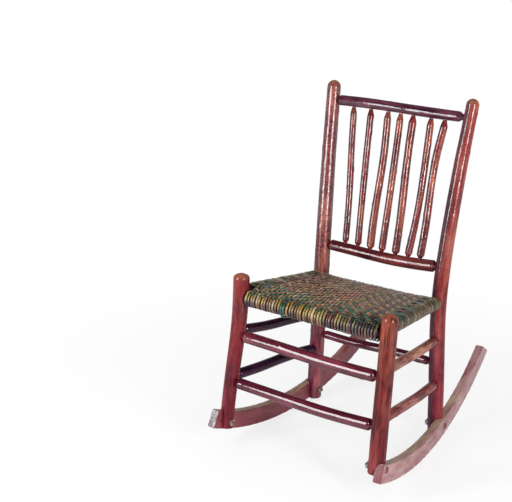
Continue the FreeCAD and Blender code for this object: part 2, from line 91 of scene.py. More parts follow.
def places(mesh, what="vertices", key="co"):
    """The places or normals of a mesh's corners as an array."""
    found = np.zeros(len(mesh.vertices) * 3)
    getattr(mesh, what).foreach_get(key, found)
    return found.reshape(-1, 3)


def ease(low, high, values):
    """Rises smoothly from 0 at low to 1 at high."""
    share = np.clip((values - low) / (high - low), 0, 1)
    return share * share * (3 - 2 * share)


up_or_right = np.array((1.0, 0.7, 2.0))
foot_share = 0.1
many_bends = 4
outer_percentile = 80


class Centreline:
    """The line down the middle of a pole, measured on its mesh, and the pole's radius on it."""

    def __init__(self, points, bends=3, stations=60):
        self.origin = points.mean(0)
        self.along = np.linalg.svd(points - self.origin, full_matrices=False)[2][0]
        if self.along @ up_or_right < 0:
            self.along = -self.along
        side = np.cross(self.along, np.array((0.0, 1.0, 0.0)))
        self.side = side / np.linalg.norm(side)
        self.other = np.cross(self.along, self.side)
        reach, across, over = self.split(points)
        self.low, self.high = reach.min(), reach.max()
        # A line with many bends would follow the notch in a post's foot, so that is left out
        foot_end = self.low + foot_share * (self.high - self.low)
        fitted = (reach > foot_end) | (bends < many_bends)
        self.bend_across = np.polyfit(reach[fitted], across[fitted], bends)
        self.bend_over = np.polyfit(reach[fitted], over[fitted], bends)
        straight = self.straightened(points)
        radial = np.hypot(straight[:, 0], straight[:, 1])
        edges = np.linspace(self.low, self.high, stations + 1)
        self.stations = (edges[1:] + edges[:-1]) / 2
        bins = np.clip(np.digitize(reach, edges) - 1, 0, stations - 1)
        parts = [radial[bins == i] for i in range(stations)]
        self.radii = [np.percentile(part, outer_percentile) if len(part) else 0 for part in parts]

    def split(self, points):
        """Distances along the pole and off its straight chord, both ways."""
        off = points - self.origin
        return off @ self.along, off @ self.side, off @ self.other

    def straightened(self, points):
        """Places as if the pole were straight: across, over and along it."""
        reach, across, over = self.split(points)
        return np.stack([across - np.polyval(self.bend_across, reach),
                         over - np.polyval(self.bend_over, reach), reach], 1)

    def centre(self, reach):
        """The centreline's point at a distance along the pole."""
        return (self.origin + self.along * reach
                + self.side * np.polyval(self.bend_across, reach)
                + self.other * np.polyval(self.bend_over, reach))

    def radius(self, reach):
        """The pole's radius at a distance along it."""
        return np.interp(reach, self.stations, self.radii)


def keep(piece, name, kind, values):
    """Stores a value for each corner of a piece, for its material to read."""
    layer = piece.data.attributes.new(name, kind, "POINT")
    key = {"FLOAT": "value", "FLOAT_VECTOR": "vector"}[kind]
    layer.data.foreach_set(key, np.asarray(values, np.float32).ravel())


def noise_at(points, scale, seed):
    """Smooth noise from about -1 to 1 at an array of places."""
    shift = Vector((seed * 7.31, seed * 3.77, seed * 5.13))
    return np.array([noise.noise(Vector(p) + shift) for p in points * np.array(scale)])


skin_edges = (0.82, 0.95)
swell_scale = (14, 14, 9)
ridge_scale = (150, 150, 16)
fine_ridge_scale = (420, 420, 90)
fine_ridge_share = 0.6
ring_scale = (60, 60, 190)
ring_fade = 0.04
knot_place = (0.15, 0.85)
knot_size = (0.0032, 0.0058)
knot_height = (0.0007, 0.0015)
knot_stretch = (1, 1, 0.75)
knot_dimple = 0.0007
dimple_sharpness = 3
worn_top_depth = 0.018
bare_top_depth = 0.003
# Painted shade lies on the side of a pole that faces this way: to the left, as the
# photograph shows the chair
painted_shade_side = np.array((-0.82, -0.57, 0.0))
painted_shade_side_fade = 0.2
dull_foot_fade = 0.05
dull_foot_polish = 0.45
# Painted reflection: low on the poles the colour is tinted cooler and purpler
cooler_below = 0.42
coolest_below = 0.12
grain_shift = 1.7


def barked(piece, seed, bends=3, swell=0.0007, ridge=0.00022, rings=0.0, knot_spacing=0.1,
           worn=0.0, aged=0.0, aged_far=0.0, aged_from=0.5, ringed_above=0.0, dull_below=0.0):
    """Gives a pole its swells, ridges, rings and knots, and keeps for its material where it
    is knotted, ringed, worn, painted dark as shade, polished, or low and cooler in colour
    as painted reflection."""
    mesh = piece.data
    points = places(mesh)
    normals = places(mesh, "vertex_normals", "vector")
    line = Centreline(points, bends)
    length = line.high - line.low
    height = points[:, 2]
    grain = line.straightened(points)
    radial = np.hypot(grain[:, 0], grain[:, 1])
    skin = ease(*skin_edges, radial / np.maximum(line.radius(grain[:, 2]), 0.001))
    ringed = ease(ringed_above - ring_fade, ringed_above + ring_fade, height)
    rise = swell * noise_at(grain, swell_scale, seed)
    rise += ridge * noise_at(grain, ridge_scale, seed + 1)
    rise += ridge * fine_ridge_share * noise_at(grain, fine_ridge_scale, seed + 2)
    rise += rings * ringed * noise_at(grain, ring_scale, seed + 3)
    draw = random.Random(seed)
    knots = np.zeros(len(points))
    count = max(2, round(length / knot_spacing))
    for i in range(count):
        reach = line.low + length * (i + draw.uniform(*knot_place)) / count
        turn = draw.uniform(0, 2 * math.pi)
        radius = line.radius(reach)
        centre = np.array((radius * math.cos(turn), radius * math.sin(turn), reach))
        size = draw.uniform(*knot_size)
        away = np.linalg.norm((grain - centre) * knot_stretch, axis=1) / size
        rise += draw.uniform(*knot_height) * np.exp(-away ** 2)
        rise -= knot_dimple * np.exp(-(away * dimple_sharpness) ** 2)
        knots = np.maximum(knots, np.exp(-away ** 2))
    mesh.vertices.foreach_set("co", (points + normals * (rise * skin)[:, None]).ravel())
    # Worn tops: bare wood rubbed through, partly painted light, paler where light falls on the
    # domes
    top = ease(line.high - worn_top_depth, line.high - bare_top_depth, grain[:, 2])
    # Painted shade: the sides of a pole that face left, and on some poles the opposite sides, are
    # marked to be coloured darker
    aside = normals @ painted_shade_side
    painted_shade_mask = aged * ease(aged_from, aged_from + painted_shade_side_fade, aside)
    painted_shade_mask_far = aged_far * ease(aged_from, aged_from + painted_shade_side_fade, -aside)
    polish = ease(dull_below - dull_foot_fade, dull_below + dull_foot_fade, height)
    keep(piece, "grain", "FLOAT_VECTOR", grain + np.array((0, 0, seed * grain_shift)))
    keep(piece, "knot", "FLOAT", knots * skin)
    keep(piece, "worn", "FLOAT", worn * top)
    keep(piece, "ringed", "FLOAT", ringed)
    keep(piece, "aged", "FLOAT", painted_shade_mask + painted_shade_mask_far)
    keep(piece, "polish", "FLOAT", dull_foot_polish + (1 - dull_foot_polish) * polish)
    keep(piece, "low", "FLOAT", ease(cooler_below, coolest_below, height))
    mesh.update()


def feed(tree, node, inputs):
    """Sets a shader node's inputs, each from another node or to a plain value or colour."""
    for key, value in inputs.items():
        socket = node.inputs[key]
        if isinstance(value, bpy.types.NodeSocket):
            tree.links.new(value, socket)
        elif socket.type == "RGBA":
            socket.default_value = (*value, 1)
        else:
            socket.default_value = value


def add(tree, kind, settings=None, inputs=None):
    """A new shader node with its settings and inputs."""
    node = tree.nodes.new("ShaderNode" + kind)
    for key, value in (settings or {}).items():
        setattr(node, key, value)
    feed(tree, node, inputs or {})
    return node


def mark(tree, name, kind="Fac"):
    """What was kept under a name for each corner of a piece."""
    return add(tree, "Attribute", {"attribute_name": name}).outputs[kind]


def blend(tree, factor, first, second, how="MIX"):
    """Two colours mixed by a factor."""
    settings = {"data_type": "RGBA", "blend_type": how}
    return add(tree, "Mix", settings, {0: factor, 6: first, 7: second}).outputs[2]


def spread(tree, value, low, high, to_low=0.0, to_high=1.0):
    """A value stretched from one range to another, and held inside it."""
    inputs = {0: value, 1: low, 2: high, 3: to_low, 4: to_high}
    return add(tree, "MapRange", None, inputs).outputs[0]


def calc(tree, how, first, second):
    """Two values added, compared or the like."""
    return add(tree, "Math", {"operation": how}, {0: first, 1: second}).outputs[0]


def times(tree, first, second):
    """Two values multiplied."""
    return calc(tree, "MULTIPLY", first, second)


def summed(tree, first, first_share, second, second_share):
    """Two patterns added, each with its share."""
    return calc(tree, "ADD", times(tree, first, first_share), times(tree, second, second_share))


def grained_noise(tree, grain, lengthwise, scale, detail, roughness=0.55):
    """Noise drawn out or pressed together along the grain of a pole, a board or a strand."""
    placed = add(tree, "Mapping", None, {"Vector": grain, "Scale": (1, 1, lengthwise)}).outputs[0]
    inputs = {"Vector": placed, "Scale": scale, "Detail": detail, "Roughness": roughness}
    return add(tree, "TexNoise", None, inputs).outputs[0]


def relief(tree, height, strength, distance):
    """Fine bumps from a pattern of heights."""
    inputs = {"Height": height, "Strength": strength, "Distance": distance}
    return add(tree, "Bump", None, inputs).outputs[0]


def new_group(name, inputs, outputs):
    """An empty node group, with the sockets that it is given and the node that it ends in."""
    group = bpy.data.node_groups.new(name, "ShaderNodeTree")
    for direction, sockets in (("INPUT", inputs), ("OUTPUT", outputs)):
        for socket, kind in sockets.items():
            group.interface.new_socket(name=socket, in_out=direction,
                                       socket_type="NodeSocket" + kind)
    given = group.nodes.new("NodeGroupInput").outputs
    return group, given, group.nodes.new("NodeGroupOutput")


def new_material(name):
    """An empty material, with its node tree and its shader."""
    material = bpy.data.materials.new(name)
    material.use_nodes = True
    return material, material.node_tree, material.node_tree.nodes["Principled BSDF"]


# Painted shade: the dark purple laid on the sides of poles that face left
painted_shade_colour = (0.030, 0.008, 0.022)


def make_bark_group():
    """Stained bark: long mottled patches, fine streaks and rings, dark knots, worn tops that are
    partly painted light, and painted shade on the sides that are marked for it.
    """
    tree, given, out = new_group(
        "stained bark",
        {"Grain": "Vector", "Knot": "Float", "Worn": "Float", "Deep": "Color", "Main": "Color",
         "Bright": "Color", "Bare": "Color", "Streaks": "Float", "Mottle": "Float",
         "Rings": "Float", "Painted Shade": "Float"},
        {"Color": "Color", "Roughness": "Float", "Height": "Float", "Gloss": "Float"})
    grain = given["Grain"]
    patches = grained_noise(tree, grain, 0.16, 80, 4)
    streaks = grained_noise(tree, grain, 0.03, 400, 3)
    threads = grained_noise(tree, grain, 0.02, 1100, 2)
    clouds = grained_noise(tree, grain, 0.3, 30, 2)
    rings = grained_noise(tree, grain, 3.2, 95, 3)
    uneven = grained_noise(tree, grain, 0.45, 130, 4, 0.65)
    fibres = summed(tree, patches, 0.55, streaks, 0.45)
    colour = blend(tree, spread(tree, fibres, 0.41, 0.55), given["Deep"], given["Main"])
    for pattern, low, high, strength, amount, shade in (
            (clouds, 0.48, 0.70, 1.0, "Mottle", "Bright"),
            (threads, 0.56, 0.70, 0.6, "Mottle", "Bright"),
            (streaks, 0.50, 0.62, 1.0, "Streaks", "Deep"),
            (rings, 0.50, 0.60, 0.65, "Rings", "Deep"),
            (rings, 0.50, 0.40, 0.40, "Rings", "Bright")):
        shown = times(tree, spread(tree, pattern, low, high, 0.0, strength), given[amount])
        colour = blend(tree, shown, colour, given[shade])
    colour = blend(tree, times(tree, given["Knot"], 0.6), colour, given["Deep"])
    # Painted shade: the sides that are marked for it darken towards a dark purple
    painted_shade_mask = times(tree, given["Painted Shade"], spread(tree, patches, 0.25, 0.65, 1.0, 0.6))
    colour = blend(tree, painted_shade_mask, colour, painted_shade_colour)
    bare = times(tree, given["Worn"], spread(tree, patches, 0.30, 0.62, 0.35, 1.0))
    colour = blend(tree, bare, colour, given["Bare"])
    varnish = spread(tree, patches, 0.35, 0.7, 0.22, 0.36)
    ringed = times(tree, times(tree, rings, given["Rings"]), 0.9)
    feed(tree, out, {
        "Color": colour,
        "Roughness": calc(tree, "ADD", varnish, times(tree, bare, 0.3)),
        "Height": calc(tree, "ADD", summed(tree, patches, 0.8, streaks, 0.45), ringed),
        "Gloss": spread(tree, uneven, 0.40, 0.56)})
    return tree


bark_group = make_bark_group()
rubbed_wood_and_top_light = (0.42, 0.20, 0.10)
painted_reflection_tint = (0.9, 0.7, 1.25)
bark_bump = 0.0007


def bark_material(name, deep, main, bright, streaks, mottle, rings=0.0, gloss=0.5, dull=0.4,
                  haze=0.1, shine=1.5):
    """A varnished pole: the stained bark under a clear glossy coat."""
    material, tree, shader = new_material(name)
    bark = add(tree, "Group", {"node_tree": bark_group}, {
        "Grain": mark(tree, "grain", "Vector"), "Knot": mark(tree, "knot"),
        "Worn": mark(tree, "worn"), "Painted Shade": mark(tree, "aged"),
        "Rings": times(tree, mark(tree, "ringed"), rings), "Streaks": streaks,
        "Mottle": mottle, "Deep": deep, "Main": main, "Bright": bright,
        "Bare": rubbed_wood_and_top_light}).outputs
    facing = add(tree, "LayerWeight", None, {"Blend": 0.5}).outputs["Facing"]
    coat = times(tree, spread(tree, facing, 0.35, 0.85, gloss, 0.08 * gloss),
                 spread(tree, bark["Gloss"], 0, 1, dull, 1))
    # Painted reflection: low down the base colour is tinted cooler
    feed(tree, shader, {
        "Base Color": blend(tree, mark(tree, "low"), bark["Color"], painted_reflection_tint, "MULTIPLY"),
        "Roughness": bark["Roughness"],
        "Normal": relief(tree, bark["Height"], 0.7, bark_bump),
        "Coat Weight": times(tree, coat, mark(tree, "polish")),
        "Coat Roughness": haze,
        "Coat IOR": shine,
        "Specular IOR Level": 0.08})
    return material


def cover(piece, material):
    """Gives a piece its only material."""
    piece.data.materials.clear()
    piece.data.materials.append(material)


post_voxel = 0.0022


def pole(node, slot, material, seed, voxel=post_voxel, **shape):
    """One bark-on pole: the frame's own shape with its bark, in place of the plain node."""
    piece = evened(merged(node), "bark_" + node, voxel)
    barked(piece, seed, **shape)
    cover(piece, material)
    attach(piece, "root")
    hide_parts(node)


front_left_bark = bark_material(
    "front left post", deep=(0.050, 0.005, 0.008), main=(0.19, 0.013, 0.016),
    bright=(0.30, 0.042, 0.040), streaks=0.6, mottle=1.0, gloss=0.8, haze=0.12)
front_right_bark = bark_material(
    "front right post", deep=(0.040, 0.003, 0.003), main=(0.19, 0.018, 0.015),
    bright=(0.36, 0.085, 0.042), streaks=0.9, mottle=0.6, gloss=0.8, haze=0.12)
pole("front_post_left", "front_post_pole", front_left_bark, seed=11, ridge=0.00014, worn=0.45,
     dull_below=0.38)
pole("front_post_right", "front_post_pole", front_right_bark, seed=12, worn=0.35,
     dull_below=0.38)

# Back posts: the same saplings, longer and steam-bent a little at the seat. They are more
# mottled than the front ones, and the left one keeps the fine rings and nodules of its bark.
# The photograph shows their left sides dark, and the left one's right side: that dark is painted
# shade.

back_post_bends = 7
back_left_bark = bark_material(
    "back left post", deep=(0.070, 0.006, 0.014), main=(0.19, 0.022, 0.030),
    bright=(0.46, 0.15, 0.10), streaks=0.8, mottle=1.0, rings=0.9, gloss=1.0, dull=0.5,
    haze=0.24, shine=1.85)
back_right_bark = bark_material(
    "back right post", deep=(0.10, 0.007, 0.010), main=(0.28, 0.032, 0.028),
    bright=(0.48, 0.12, 0.080), streaks=0.7, mottle=0.7, rings=0.25, gloss=0.9, haze=0.17,
    shine=1.6)
pole("back_post_left", "back_post_pole", back_left_bark, seed=21, voxel=0.0019,
     bends=back_post_bends, rings=0.00022, ringed_above=0.45, knot_spacing=0.05, worn=0.55,
     aged=0.9, aged_far=0.8, aged_from=0.65, dull_below=0.55)
pole("back_post_right", "back_post_pole", back_right_bark, seed=22, bends=back_post_bends,
     rings=0.0001, knot_spacing=0.08, worn=0.75, aged=1.0, aged_from=0.35, dull_below=0.5)

# Stretchers: thinner poles with the bark on, whittled down at both ends and driven into
# holes in the posts. The front and back ones have the glossiest varnish on the chair, with
# a few small knots, and the left side's are nearly black: a dark stain, darkened further as
# painted shade under the seat.

thin_pole_voxel = 0.002
stretcher_bark = bark_material(
    "stretchers", deep=(0.040, 0.003, 0.007), main=(0.13, 0.012, 0.026),
    bright=(0.27, 0.050, 0.066), streaks=0.7, mottle=0.7, gloss=1.0, dull=0.8, haze=0.05)
# Painted shade: the left side's colours are darker for the seat's shadow, over their dark stain
left_side_dark_and_shaded_bark = bark_material(
    "left side stretchers", deep=(0.012, 0.002, 0.008), main=(0.042, 0.006, 0.024),
    bright=(0.11, 0.03, 0.06), streaks=0.6, mottle=0.4)
right_side_bark = bark_material(
    "right side stretchers", deep=(0.075, 0.009, 0.009), main=(0.23, 0.036, 0.022),
    bright=(0.60, 0.29, 0.15), streaks=0.9, mottle=1.0)
for i, name in enumerate(("front_stretcher_upper", "front_stretcher_lower", "back_stretcher")):
    pole(name, "stretcher_pole", stretcher_bark, seed=31 + i, voxel=thin_pole_voxel,
         swell=0.0005, ridge=0.0001)
for i, name in enumerate(("upper", "lower")):
    pole("side_stretcher_left_" + name, "stretcher_pole", left_side_dark_and_shaded_bark, seed=41 + i,
         voxel=thin_pole_voxel)
    pole("side_stretcher_right_" + name, "stretcher_pole", right_side_bark, seed=51 + i,
         voxel=thin_pole_voxel)

# Seat rails: four plain poles of the same saplings, driven into holes in the posts. The
# woven seat is wound round them and hides them, all but their ends at the corners.

hidden_pole_voxel = 0.003
# Painted shade: the rails are coloured darker than the other poles, so that the gaps between the
# strands show dark
rail_bark = bark_material(
    "seat rails", deep=(0.03, 0.010, 0.010), main=(0.06, 0.018, 0.014),
    bright=(0.12, 0.045, 0.03), streaks=0.5, mottle=0.4, gloss=0.1)
for i, name in enumerate(("front", "back", "left", "right")):
    pole("seat_rail_" + name, "seat_rail_pole", rail_bark, seed=61 + i,
         voxel=hidden_pole_voxel)

# Back rails: the crest between the posts' tops, with long whittled points, and the lower
# rail above the seat. Both are dark, and each is bored for one end of all seven spindles.

crest_bark = bark_material(
    "crest rail", deep=(0.026, 0.006, 0.018), main=(0.095, 0.020, 0.042),
    bright=(0.23, 0.065, 0.085), streaks=0.8, mottle=0.6, gloss=1.0, dull=0.5)
lower_rail_bark = bark_material(
    "lower back rail", deep=(0.040, 0.004, 0.008), main=(0.12, 0.012, 0.018),
    bright=(0.27, 0.060, 0.050), streaks=0.7, mottle=0.6, gloss=1.0, dull=0.5)
pole("crest_rail", "back_rail_pole", crest_bark, seed=71, voxel=thin_pole_voxel)
pole("lower_back_rail", "back_rail_pole", lower_rail_bark, seed=72, voxel=thin_pole_voxel)

# Spindles: seven thin crooked poles, whittled to pencil points that fit the two back rails.
# Their bark is rubbed through in places, to orange and pink patches, and the sides that the
# photograph shows at their left and right are painted dark, as shade.

spindle_count = 7
spindle_voxel = 0.0016
spindle_bark = bark_material(
    "spindles", deep=(0.040, 0.004, 0.009), main=(0.24, 0.020, 0.022),
    bright=(0.50, 0.13, 0.065), streaks=1.0, mottle=1.0, rings=0.3, gloss=1.0, shine=1.7)
for i in range(spindle_count):
    pole("spindle_" + str(i + 1), "spindle_pole", spindle_bark, seed=81 + i,
         voxel=spindle_voxel, swell=0.0006, knot_spacing=0.05, aged=0.9, aged_far=0.7)

# Woven seat: strands of bark splint wound over the front and back rails, then others woven
# through them from side to side in a herringbone, two over and two under. They curl as they
# dry, so dark gaps show between them, and an old green stain is left mostly on those others.
# Their flanks, the parts that dip under others, and the strands under the seat and low on the
# front roll are darkened as painted shade.

strand_thickness = 0.0031
strand_slack = 0.0003
warp_pitch = 0.0086
weft_pitch = 0.0096
warp_width = 0.0066
weft_width = 0.0074
section_count = 10
turn_count = 10
herringbone_turn = 0.2
rail_tip_share = 0.12

rail_lines = {name: Centreline(places(frame["nodes"]["seat_rail_" + name].data), bends=1)
              for name in ("front", "back", "right")}
rail_ends = {name: (line.centre(line.low), line.centre(line.high))
             for name, line in rail_lines.items()}
front_middle = sum(rail_ends["front"]) / 2
back_middle = sum(rail_ends["back"]) / 2
seat_across = np.array((1.0, 0.0, 0.0))
seat_back = back_middle - front_middle
seat_back[0] = 0
seat_depth = float(np.linalg.norm(seat_back))
seat_back = seat_back / seat_depth
seat_up = np.cross(seat_across, seat_back)


def in_seat(point):
    """A point's place across, back and up in the seat's frame."""
    off = np.asarray(point) - front_middle
    return np.array((off @ seat_across, off @ seat_back, off @ seat_up))


def to_world(across, back, up):
    """A place in the seat's frame as a point."""
    return front_middle + seat_across * across + seat_back * back + seat_up * up


def rail_place(name, value, coordinate):
    """Centre of a rail in the seat's frame, and its radius, where one coordinate is given."""
    first, last = (in_seat(end) for end in rail_ends[name])
    share = (value - first[coordinate]) / (last[coordinate] - first[coordinate])
    line = rail_lines[name]
    inner = np.clip(share, rail_tip_share, 1 - rail_tip_share)
    radius = float(line.radius(line.low + (line.high - line.low) * inner))
    return first + (last - first) * share, radius


front_post_place = 0.2215
back_post_place = 0.1845
front_post_room = 0.0241
back_post_room = 0.0251
front_half = front_post_place - front_post_room
back_half = back_post_place - back_post_room
seat_middle_height = 0.0232
seat_side_height = 0.0340
dish_power = 2.4
seat_edge_width = 0.045
belly_depth = 0.0225
belly_side_rise = 0.021
layer = strand_thickness + strand_slack
half_layer = layer / 2

warp_count = round(2 * front_half / warp_pitch)
warp_shares = [(i + 0.5) / warp_count * 2 - 1 for i in range(warp_count)]
first_full = front_post_room + weft_pitch / 2
last_full = seat_depth - back_post_room - weft_pitch / 2
full_count = int((last_full - first_full) / weft_pitch) + 1
short_before = 4
short_after = 3
weft_places = [first_full + weft_pitch * j for j in range(-short_before, full_count + short_after)]
full_places = weft_places[short_before:-short_after]


def half_width(back):
    """Half the room between the posts, at a distance back from the front rail."""
    return front_half + (back_half - front_half) * min(max(back / seat_depth, 0), 1)


def side_place(back):
    """How far the side rails' centres are from the middle, at that distance back."""
    return float(rail_place("right", back, 1)[0][0])


def side_share(across, back):
    """How much of the dish's rise towards the side rails there is at a place."""
    return min(abs(across) / side_place(back), 1) ** dish_power


def seat_height(across, back):
    """Height of the middle of the weave above the plane of the front and back rails."""
    front_height = rail_place("front", across, 0)[1] + layer
    back_height = rail_place("back", across, 0)[1] + layer
    edge = front_height + (back_height - front_height) * back / seat_depth
    dish = (seat_side_height - seat_middle_height) * side_share(across, back)
    inside = float(ease(0, seat_edge_width, np.array(back))
                   * ease(0, seat_edge_width, np.array(seat_depth - back)))
    return edge + (seat_middle_height + dish - edge) * inside


def belly_height(across, back):
    """Height of the middle of the weave under the seat."""
    return -belly_depth + belly_side_rise * side_share(across, back)


def on_top(across, reach, lift):
    """A point on top of the seat, lifted out of it. A reach before 0 or past the seat's
    depth runs on round the front or the back rail."""
    past = min(reach, 0) + max(reach - seat_depth, 0)
    if past == 0:
        return to_world(across, reach, seat_height(across, reach) + lift)
    centre, radius = rail_place("front" if past < 0 else "back", across, 0)
    turn = past / (radius + layer)
    out = radius + layer + lift
    return to_world(across, centre[1] + out * math.sin(turn), centre[2] + out * math.cos(turn))


def over(i, j):
    """+1 where front-to-back strand i lies on top of side-to-side strand j, else -1."""
    turned = warp_shares[i] > herringbone_turn
    return 1 if (j + i if turned else j - i) % 4 < 2 else -1


def with_midpoints(values):
    """Values at the crossings, with the ones midway between them."""
    found = []
    for first, second in zip(values, values[1:]):
        found += [first, (first + second) / 2]
    return found + [values[-1]]


curl_depth = 0.13
curl_scale = 45
strand_shift = 1.7
flank_fullness = 0.9
flank_grime_and_shade = 0.55


def new_strands():
    """An empty mesh for strands, with layers for their grain and their stain."""
    bm = bmesh.new()
    bm.verts.layers.float_vector.new("lie")
    bm.verts.layers.float_color.new("tint")
    return bm


def strand(bm, points, sideways, width, colours, number, closed=True):
    """One strand: a lens-shaped section carried along a path, closed or from end to end."""
    rings = len(points) if closed else len(points) - 1
    lie = bm.verts.layers.float_vector["lie"]
    tint = bm.verts.layers.float_color["tint"]
    reach = [0.0]
    outward = []
    for i, point in enumerate(points):
        ahead = points[(i + 1) % len(points)] if closed or i < rings else point
        behind = points[i - 1] if closed or i > 0 else point
        out = np.cross(ahead - behind, sideways)
        outward.append(out / np.linalg.norm(out))
        reach.append(reach[-1] + float(np.linalg.norm(points[(i + 1) % len(points)] - point)))
    made = bmesh.ops.create_grid(bm, x_segments=rings, y_segments=section_count, size=0.5)
    for vert in made["verts"]:
        i = round((vert.co.x + 0.5) * rings)
        at = i % len(points)
        turn = 2 * math.pi * (vert.co.y + 0.5)
        place = Vector((reach[at] * curl_scale, number * strand_shift, 0))
        half = (1 + curl_depth * noise.noise(place)) * width / 2
        across = half * math.copysign(abs(math.cos(turn)) ** flank_fullness, math.cos(turn))
        rise = strand_thickness / 2 * min(width / weft_width, 1) * math.sin(turn)
        vert.co = Vector(points[at] + sideways * across + outward[at] * rise)
        vert[lie] = Vector((across, number, reach[i]))
        # Grime with painted shade: each strand darkens towards its flanks, where it curls into the
        # gaps
        shade = 1 - flank_grime_and_shade * math.cos(turn) ** 2
        vert[tint] = np.append(np.clip(colours[at] * shade, 0, 1), 1.0)
    bmesh.ops.remove_doubles(bm, verts=made["verts"], dist=weld_distance)


seat_stains = {
    "amber": (0.37, 0.23, 0.055), "cream": (0.52, 0.44, 0.29), "tan": (0.62, 0.38, 0.20),
    "rust": (0.58, 0.23, 0.13), "olive": (0.34, 0.27, 0.10), "brown": (0.24, 0.14, 0.075),
    "moss": (0.13, 0.14, 0.07), "dark": (0.080, 0.050, 0.035), "mauve": (0.27, 0.185, 0.165),
    "teal": (0.035, 0.125, 0.085), "navy": (0.030, 0.038, 0.060), "wine": (0.15, 0.045, 0.055),
    "steel": (0.25, 0.24, 0.23),
}

# Where each stain lies on the front-to-back strands, round the front rail and then on top:
# its place as a share of the seat's half width, how far it spreads, and how much there is
roll_stain_shares = (
    ("amber", -0.2, 0.55, 3.0), ("cream", -0.3, 0.5, 0.8), ("brown", 0.1, 0.7, 1.4),
    ("olive", 0.1, 0.7, 1.8), ("olive", -0.9, 0.3, 3.0), ("steel", -0.8, 0.25, 1.6),
    ("steel", 0.7, 0.3, 1.5), ("wine", 0.3, 0.4, 0.8), ("navy", 0.9, 0.25, 4.0),
    ("dark", 0.85, 0.3, 2.0), ("moss", 0.75, 0.3, 1.0), ("brown", 0.0, 0.7, 1.6),
)
top_stain_shares = (
    ("tan", -0.2, 0.6, 3.0), ("rust", -0.3, 0.6, 2.4), ("olive", 0.0, 0.8, 2.6),
    ("amber", -0.1, 0.5, 1.0), ("mauve", -0.6, 0.6, 1.4), ("brown", 0.2, 0.8, 1.6),
    ("moss", 0.8, 0.4, 2.0), ("mauve", 0.8, 0.4, 1.4), ("tan", 0.75, 0.4, 0.9),
    ("rust", 0.6, 0.4, 1.0),
)
# And on the side-to-side strands: its place across and back, how far it spreads across and
# back, and how much there is
weft_stain_shares = (
    ("teal", -0.6, 0.11, 0.8, 0.12, 9.0), ("teal", 0.6, 0.05, 0.7, 0.08, 5.0),
    ("navy", 0.7, 0.15, 0.4, 0.12, 2.0), ("dark", -0.2, 0.5, 1.5, 0.5, 1.8),
    ("brown", -0.2, 0.5, 0.8, 0.4, 2.4), ("moss", 0.3, 0.4, 1.6, 0.8, 1.4),
    ("dark", 0.0, 0.5, 2.0, 0.9, 1.0), ("mauve", 0.0, 0.85, 1.5, 0.3, 2.6),
    ("wine", -0.1, 0.5, 0.8, 0.3, 1.0), ("teal", 0.85, 0.5, 0.2, 0.4, 2.0),
    ("mauve", -0.9, 0.5, 0.25, 0.6, 1.8),
)
stain_strength = (0.75, 1.3)
seat_random = random.Random(5)


def pick(names, weights):
    """One of some stains, drawn by lot and made a little lighter or darker."""
    name = seat_random.choices(names, weights)[0]
    return np.array(seat_stains[name]) * seat_random.uniform(*stain_strength)


def warp_stain(share, zones):
    """A stain for a front-to-back strand at a share of the seat's half width."""
    weights = [amount * math.exp(-((share - x) / wide) ** 2) for _, x, wide, amount in zones]
    return pick([zone[0] for zone in zones], weights)


def weft_stain(share, depth):
    """A stain for a side-to-side strand at a place on top of the seat."""
    weights = [amount * math.exp(-((share - x) / wide) ** 2 - ((depth - y) / deep) ** 2)
               for _, x, y, wide, deep, amount in weft_stain_shares]
    return pick([zone[0] for zone in weft_stain_shares], weights)


bundle_place = -0.40
bundle_reach = 0.033
bundle_stain = np.array((0.018, 0.070, 0.050))
bundle_fullness = 1.15
bundle_proud = 0.0010
bundle_hang = 0.0035
loose_hang = 0.001
right_hang = 0.0015
warp_width_shares = (0.84, 1.04)
roll_proud = (0.0004, 0.0014)
strand_jitter = 0.0011
crossing_lift = 0.0009
rail_stand_off = strand_slack + strand_thickness / 2
front_tuck = 0.22
roll_shade = 0.8
under_painted_shade = 0.8
roll_edge = 0.4
front_shade = 0.8
front_fading = (0.12, 0.0)
back_fading = (0.4, 0.95)
back_fading_share = 0.6
warp_painted_shade_at_crossing = 0.28


